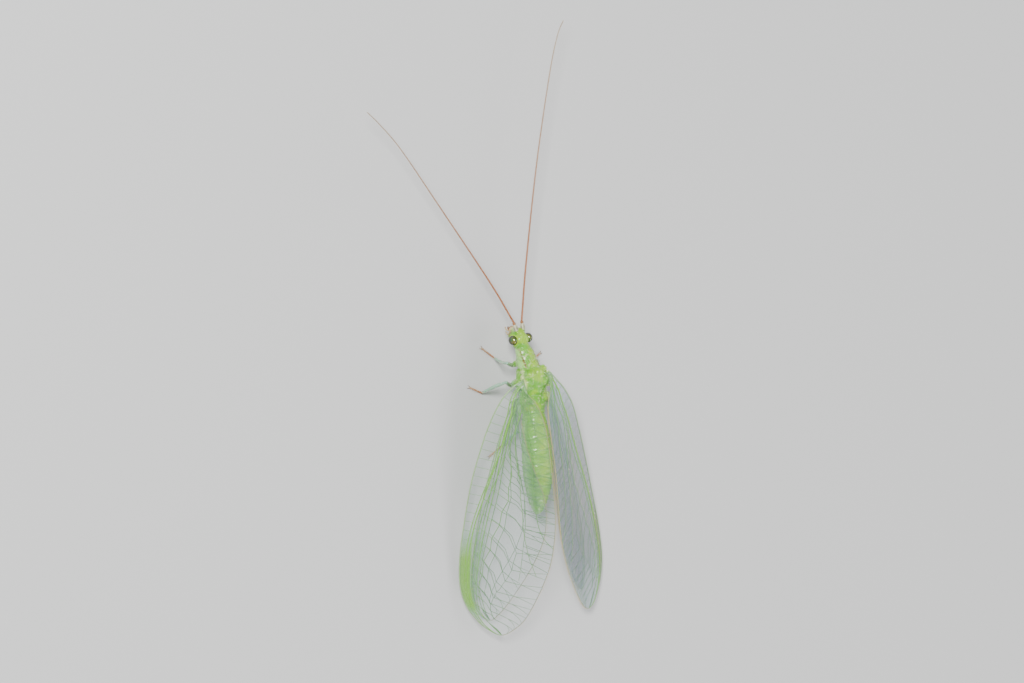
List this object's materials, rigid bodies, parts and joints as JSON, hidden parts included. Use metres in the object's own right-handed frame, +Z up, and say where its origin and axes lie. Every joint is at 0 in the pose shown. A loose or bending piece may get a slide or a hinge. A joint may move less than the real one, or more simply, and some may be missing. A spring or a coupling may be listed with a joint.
{
  "type": "green lacewing",
  "caption": "Green lacewing at rest, with clear veined wings folded like a roof over a slim lime green body, long feelers and slender legs.",
  "frame": {"origin": "on the floor, under the middle of the whole insect with its feelers", "axes": "+Z up, -Y towards the head, +X towards the insect's left side"},
  "size_m": [0.0149, 0.0359, 0.0042],
  "materials": {
    "body": "glossy lime green cuticle",
    "pronotum": "glossy yellow-green cuticle",
    "abdomen": "soft glossy lime green skin",
    "eye": "glossy, nearly black",
    "feeler": "orange-brown, finely haired",
    "scape": "whitish with dark stripes",
    "mouth": "cream and brown",
    "leg": "pale blue-green, finely haired",
    "foot": "orange",
    "wing": "clear membrane with green veins"
  },
  "bodies": {
    "root": {"head": "body", "mouthparts": "mouth", "prothorax": "pronotum", "mesothorax": "body", "metathorax": "body", "abdomen_front": "abdomen", "abdomen_middle": "abdomen", "abdomen_end": "abdomen", "eye_left": "eye", "scape_left": "scape", "feeler_left_1": "feeler", "feeler_left_2": "feeler", "feeler_left_3": "feeler", "forewing_left": "wing", "hindwing_left": "wing", "eye_right": "eye", "scape_right": "scape", "feeler_right_1": "feeler", "feeler_right_2": "feeler", "feeler_right_3": "feeler", "forewing_right": "wing", "hindwing_right": "wing", "front_coxa_left": "leg", "front_femur_left": "leg", "front_tibia_left": "leg", "front_tarsus_left": "foot", "front_coxa_right": "leg", "front_femur_right": "leg", "front_tibia_right": "leg", "front_tarsus_right": "foot", "middle_coxa_left": "leg", "middle_femur_left": "leg", "middle_tibia_left": "leg", "middle_tarsus_left": "foot", "middle_coxa_right": "leg", "middle_femur_right": "leg", "middle_tibia_right": "leg", "middle_tarsus_right": "foot", "hind_coxa_left": "leg", "hind_femur_left": "leg", "hind_tibia_left": "leg", "hind_tarsus_left": "foot", "hind_coxa_right": "leg", "hind_femur_right": "leg", "hind_tibia_right": "leg", "hind_tarsus_right": "foot"}
  },
  "joints": []
}
